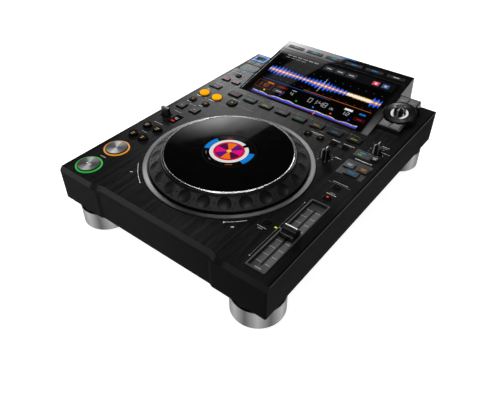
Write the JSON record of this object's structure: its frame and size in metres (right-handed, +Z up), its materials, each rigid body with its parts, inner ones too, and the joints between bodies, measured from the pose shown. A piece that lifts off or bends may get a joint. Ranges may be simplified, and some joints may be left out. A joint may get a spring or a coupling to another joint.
{
  "type": "tabletop dj media player",
  "caption": "Flat-top tabletop DJ media player with tilted touch screen, large jog wheel, tempo fader and lit transport keys.",
  "frame": {"origin": "on the table, under the centre of the outer box", "axes": "+X to the player's right, +Y to its rear, +Z up"},
  "size_m": [0.329, 0.453, 0.118],
  "materials": {
    "case_black": "matt moulded black",
    "panel_black": "black anodised, brushed front to back",
    "sheet_black": "black powder coat",
    "housing_black": "satin black",
    "touch_glass": "gloss black glass",
    "module_grey": "matt",
    "satin_silver": "satin",
    "wheel_black": "satin black",
    "rim_chrome": "polished",
    "gloss_black": "high gloss",
    "spun_metal": "spun",
    "key_black": "satin",
    "key_yellow": "satin, lit",
    "key_red": "satin, lit",
    "key_cue": "satin, lit edge",
    "key_grey": "satin",
    "key_amber": "satin, lit",
    "key_blue": "satin, lit",
    "light_clear": "clear, lit",
    "knob_black": "satin",
    "cap_black": "satin",
    "tray_grey": "satin",
    "usb_blue": "clear blue, lit",
    "socket_plastic": "satin",
    "steel": "plain",
    "board_green": "solder mask",
    "foot_black": "matt",
    "foot_rubber": "matt"
  },
  "bodies": {
    "case": {"case_walls": "case_black", "base_pan": "sheet_black", "top_panel": "panel_black", "rear_panel": "sheet_black", "screen_housing": "housing_black", "screen_glass": "touch_glass", "lcd_module": "module_grey", "jog_trim_ring": "satin_silver", "jog_bearing": "module_grey", "jog_display": "gloss_black", "light_rings": "light_clear", "selector_ring": "satin_silver", "usb_port": "usb_blue", "sd_reader": "socket_plastic", "rear_sockets": "socket_plastic", "ac_inlet": "socket_plastic", "fader_tray": "tray_grey", "fader_unit": "steel", "circuit_boards": "board_green", "power_supply": "board_green", "case_screws": "steel", "foot_sleeves": "satin_silver", "foot_cores": "foot_black", "foot_pads": "foot_rubber"},
    "jog": {"jog_wheel": "wheel_black", "jog_rim": "rim_chrome", "jog_top_plate": "gloss_black"},
    "play_button": {"play_button": "spun_metal"},
    "cue_button": {"cue_button": "spun_metal"},
    "search_back": {"search_back": "key_black"},
    "search_forward": {"search_forward": "key_black"},
    "track_back": {"track_back": "key_black"},
    "track_forward": {"track_forward": "key_black"},
    "beat_jump_back": {"beat_jump_back": "key_black"},
    "beat_jump_forward": {"beat_jump_forward": "key_black"},
    "loop_size_keys": {"loop_size_keys": "key_black"},
    "loop_in": {"loop_in": "key_yellow"},
    "loop_out": {"loop_out": "key_yellow"},
    "loop_exit": {"loop_exit": "key_black"},
    "slip_button": {"slip_button": "key_black"},
    "time_keys": {"time_keys": "key_red"},
    "media_stop_button": {"media_stop_button": "key_black"},
    "hot_cue_keys": {"hot_cue_keys": "key_cue"},
    "memory_keys": {"memory_keys": "key_black"},
    "jog_mode_button": {"jog_mode_button": "key_grey"},
    "master_button": {"master_button": "key_grey"},
    "key_sync_button": {"key_sync_button": "key_amber"},
    "beat_sync_button": {"beat_sync_button": "key_blue"},
    "tempo_range_button": {"tempo_range_button": "key_black"},
    "master_tempo_button": {"master_tempo_button": "key_black"},
    "tempo_reset_button": {"tempo_reset_button": "key_black"},
    "menu_keys": {"menu_keys": "key_black"},
    "browse_keys": {"browse_keys": "key_grey"},
    "direction_lever": {"direction_lever": "knob_black"},
    "speed_knob": {"speed_knob": "knob_black"},
    "jog_adjust_knob": {"jog_adjust_knob": "knob_black"},
    "selector_knob": {"selector_knob": "rim_chrome"},
    "fader_cap": {"fader_cap": "cap_black"},
    "power_switch": {"power_switch": "socket_plastic"},
    "sd_door": {"sd_door": "case_black"}
  },
  "joints": [
    {"name": "jog_spin", "type": "hinge", "parent": "case", "child": "jog", "pos_m": [0, -0.0827, 0.1], "axis": [0, 0, 1], "continuous": true},
    {"name": "play_button_press", "type": "slide", "parent": "case", "child": "play_button", "axis": [0, 0, -1], "range_m": [0, 0.0015], "stiffness_N_per_m": 700, "springref_m": -0.0012},
    {"name": "cue_button_press", "type": "slide", "parent": "case", "child": "cue_button", "axis": [0, 0, -1], "range_m": [0, 0.0015], "stiffness_N_per_m": 700, "springref_m": -0.0012},
    {"name": "search_back_press", "type": "slide", "parent": "case", "child": "search_back", "axis": [0, 0, -1], "range_m": [0, 0.001], "stiffness_N_per_m": 500, "springref_m": -0.001},
    {"name": "search_forward_press", "type": "slide", "parent": "case", "child": "search_forward", "axis": [0, 0, -1], "range_m": [0, 0.001], "stiffness_N_per_m": 500, "springref_m": -0.001},
    {"name": "track_back_press", "type": "slide", "parent": "case", "child": "track_back", "axis": [0, 0, -1], "range_m": [0, 0.001], "stiffness_N_per_m": 500, "springref_m": -0.001},
    {"name": "track_forward_press", "type": "slide", "parent": "case", "child": "track_forward", "axis": [0, 0, -1], "range_m": [0, 0.001], "stiffness_N_per_m": 500, "springref_m": -0.001},
    {"name": "beat_jump_back_press", "type": "slide", "parent": "case", "child": "beat_jump_back", "axis": [0, 0, -1], "range_m": [0, 0.001], "stiffness_N_per_m": 500, "springref_m": -0.001},
    {"name": "beat_jump_forward_press", "type": "slide", "parent": "case", "child": "beat_jump_forward", "axis": [0, 0, -1], "range_m": [0, 0.001], "stiffness_N_per_m": 500, "springref_m": -0.001},
    {"name": "loop_size_keys_press", "type": "slide", "parent": "case", "child": "loop_size_keys", "axis": [0, 0, -1], "range_m": [0, 0.001], "stiffness_N_per_m": 500, "springref_m": -0.001},
    {"name": "loop_in_press", "type": "slide", "parent": "case", "child": "loop_in", "axis": [0, 0, -1], "range_m": [0, 0.001], "stiffness_N_per_m": 500, "springref_m": -0.001},
    {"name": "loop_out_press", "type": "slide", "parent": "case", "child": "loop_out", "axis": [0, 0, -1], "range_m": [0, 0.001], "stiffness_N_per_m": 500, "springref_m": -0.001},
    {"name": "loop_exit_press", "type": "slide", "parent": "case", "child": "loop_exit", "axis": [0, 0, -1], "range_m": [0, 0.001], "stiffness_N_per_m": 500, "springref_m": -0.001},
    {"name": "slip_button_press", "type": "slide", "parent": "case", "child": "slip_button", "axis": [0, 0, -1], "range_m": [0, 0.001], "stiffness_N_per_m": 500, "springref_m": -0.001},
    {"name": "time_keys_press", "type": "slide", "parent": "case", "child": "time_keys", "axis": [0, 0, -1], "range_m": [0, 0.001], "stiffness_N_per_m": 500, "springref_m": -0.001},
    {"name": "media_stop_button_press", "type": "slide", "parent": "case", "child": "media_stop_button", "axis": [0, 0, -1], "range_m": [0, 0.001], "stiffness_N_per_m": 500, "springref_m": -0.001},
    {"name": "hot_cue_keys_press", "type": "slide", "parent": "case", "child": "hot_cue_keys", "axis": [0, 0, -1], "range_m": [0, 0.001], "stiffness_N_per_m": 500, "springref_m": -0.001},
    {"name": "memory_keys_press", "type": "slide", "parent": "case", "child": "memory_keys", "axis": [0, 0, -1], "range_m": [0, 0.001], "stiffness_N_per_m": 500, "springref_m": -0.001},
    {"name": "jog_mode_button_press", "type": "slide", "parent": "case", "child": "jog_mode_button", "axis": [0, 0, -1], "range_m": [0, 0.001], "stiffness_N_per_m": 500, "springref_m": -0.001},
    {"name": "master_button_press", "type": "slide", "parent": "case", "child": "master_button", "axis": [0, 0, -1], "range_m": [0, 0.001], "stiffness_N_per_m": 500, "springref_m": -0.001},
    {"name": "key_sync_button_press", "type": "slide", "parent": "case", "child": "key_sync_button", "axis": [0, 0, -1], "range_m": [0, 0.001], "stiffness_N_per_m": 500, "springref_m": -0.001},
    {"name": "beat_sync_button_press", "type": "slide", "parent": "case", "child": "beat_sync_button", "axis": [0, 0, -1], "range_m": [0, 0.001], "stiffness_N_per_m": 500, "springref_m": -0.001},
    {"name": "tempo_range_button_press", "type": "slide", "parent": "case", "child": "tempo_range_button", "axis": [0, 0, -1], "range_m": [0, 0.001], "stiffness_N_per_m": 500, "springref_m": -0.001},
    {"name": "master_tempo_button_press", "type": "slide", "parent": "case", "child": "master_tempo_button", "axis": [0, 0, -1], "range_m": [0, 0.001], "stiffness_N_per_m": 500, "springref_m": -0.001},
    {"name": "tempo_reset_button_press", "type": "slide", "parent": "case", "child": "tempo_reset_button", "axis": [0, 0, -1], "range_m": [0, 0.001], "stiffness_N_per_m": 500, "springref_m": -0.001},
    {"name": "menu_keys_press", "type": "slide", "parent": "case", "child": "menu_keys", "axis": [0, 0.2142, -0.9768], "range_m": [0, 0.001], "stiffness_N_per_m": 500, "springref_m": -0.001},
    {"name": "browse_keys_press", "type": "slide", "parent": "case", "child": "browse_keys", "axis": [0, 0.2142, -0.9768], "range_m": [0, 0.001], "stiffness_N_per_m": 500, "springref_m": -0.001},
    {"name": "direction_tilt", "type": "hinge", "parent": "case", "child": "direction_lever", "pos_m": [-0.1473, -0.0494, 0.0835], "axis": [1, 0, 0], "range_deg": [-12, 12]},
    {"name": "speed_knob_turn", "type": "hinge", "parent": "case", "child": "speed_knob", "pos_m": [0.093, 0.002, 0.094], "axis": [0, 0, 1], "range_deg": [-150, 150]},
    {"name": "jog_adjust_knob_turn", "type": "hinge", "parent": "case", "child": "jog_adjust_knob", "pos_m": [0.142, 0.053, 0.094], "axis": [0, 0, 1], "range_deg": [-150, 150]},
    {"name": "selector_turn", "type": "hinge", "parent": "case", "child": "selector_knob", "pos_m": [0.1302, 0.14263, 0.1006], "axis": [0, -0.2142, 0.9768], "continuous": true},
    {"name": "tempo_slide", "type": "slide", "parent": "case", "child": "fader_cap", "axis": [0, 1, 0], "range_m": [-0.05, 0.05]},
    {"name": "power_rock", "type": "hinge", "parent": "case", "child": "power_switch", "pos_m": [-0.1104, 0.1974, 0.057], "axis": [1, 0, 0], "range_deg": [-8, 8]},
    {"name": "sd_door_swing", "type": "hinge", "parent": "case", "child": "sd_door", "pos_m": [-0.1425, 0.1576, 0.0862], "axis": [-1, 0, 0], "range_deg": [0, 85]}
  ]
}
